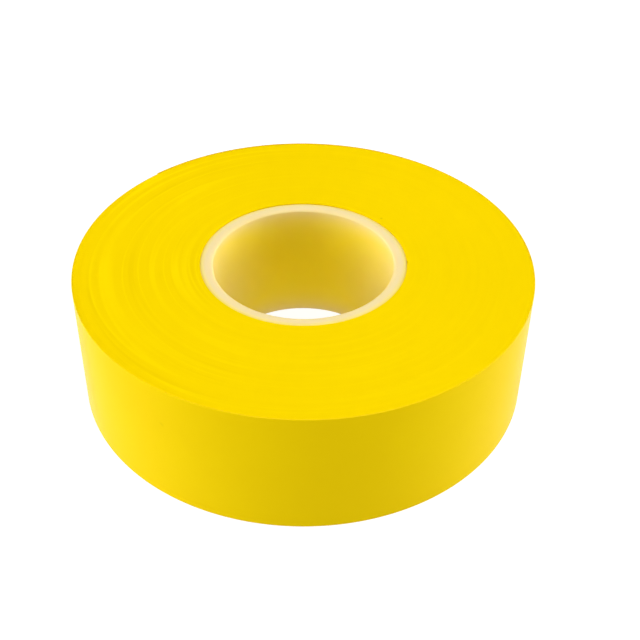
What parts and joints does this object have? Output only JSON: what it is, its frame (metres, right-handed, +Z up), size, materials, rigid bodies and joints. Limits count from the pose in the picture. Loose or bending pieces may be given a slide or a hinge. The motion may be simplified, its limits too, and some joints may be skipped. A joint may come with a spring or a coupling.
{
  "type": "electrical tape roll",
  "caption": "Flat cylindrical roll of yellow vinyl electrical tape on a translucent ivory plastic core with an open bore; its free end peels away in short hinged lengths.",
  "frame": {"origin": "on the core's axis, in the plane of the roll's lower side, which it rests on", "axes": "+Z up along the core's axis, which is the roll's axis of symmetry; the last turn starts on the +X side and winds towards +Y; the free end lies on the +Y side"},
  "size_m": [0.0643, 0.0644, 0.019],
  "materials": {
    "core_plastic": "translucent ivory moulded plastic, satin",
    "vinyl_film": "satin calendered yellow vinyl",
    "adhesive": "clear tacky rubber adhesive over yellow vinyl"
  },
  "bodies": {
    "roll": {"core": "core_plastic", "inner_turns": "vinyl_film", "last_turn_film": "vinyl_film", "last_turn_adhesive": "adhesive"},
    "free_end_1": {"free_end_film_1": "vinyl_film", "free_end_adhesive_1": "adhesive"},
    "free_end_2": {"free_end_film_2": "vinyl_film", "free_end_adhesive_2": "adhesive"},
    "free_end_3": {"free_end_film_3": "vinyl_film", "free_end_adhesive_3": "adhesive"},
    "free_end_4": {"free_end_film_4": "vinyl_film", "free_end_adhesive_4": "adhesive"},
    "free_end_5": {"free_end_film_5": "vinyl_film", "free_end_adhesive_5": "adhesive"},
    "free_end_6": {"free_end_film_6": "vinyl_film", "free_end_adhesive_6": "adhesive"}
  },
  "joints": [
    {"name": "peel_lift", "type": "hinge", "parent": "roll", "child": "free_end_1", "pos_m": [0.00834, 0.03112, 0.0095], "axis": [0, 0, -1], "range_deg": [0, 25]},
    {"name": "peel_bend_2", "type": "hinge", "parent": "free_end_1", "child": "free_end_2", "pos_m": [0.00281, 0.03209, 0.0095], "axis": [0, 0, -1], "range_deg": [0, 25]},
    {"name": "peel_bend_3", "type": "hinge", "parent": "free_end_2", "child": "free_end_3", "pos_m": [-0.00281, 0.03209, 0.0095], "axis": [0, 0, -1], "range_deg": [0, 25]},
    {"name": "peel_bend_4", "type": "hinge", "parent": "free_end_3", "child": "free_end_4", "pos_m": [-0.00834, 0.03112, 0.0095], "axis": [0, 0, -1], "range_deg": [0, 25]},
    {"name": "peel_bend_5", "type": "hinge", "parent": "free_end_4", "child": "free_end_5", "pos_m": [-0.01362, 0.0292, 0.0095], "axis": [0, 0, -1], "range_deg": [0, 25]},
    {"name": "peel_bend_6", "type": "hinge", "parent": "free_end_5", "child": "free_end_6", "pos_m": [-0.01848, 0.02639, 0.0095], "axis": [0, 0, -1], "range_deg": [0, 25]}
  ]
}
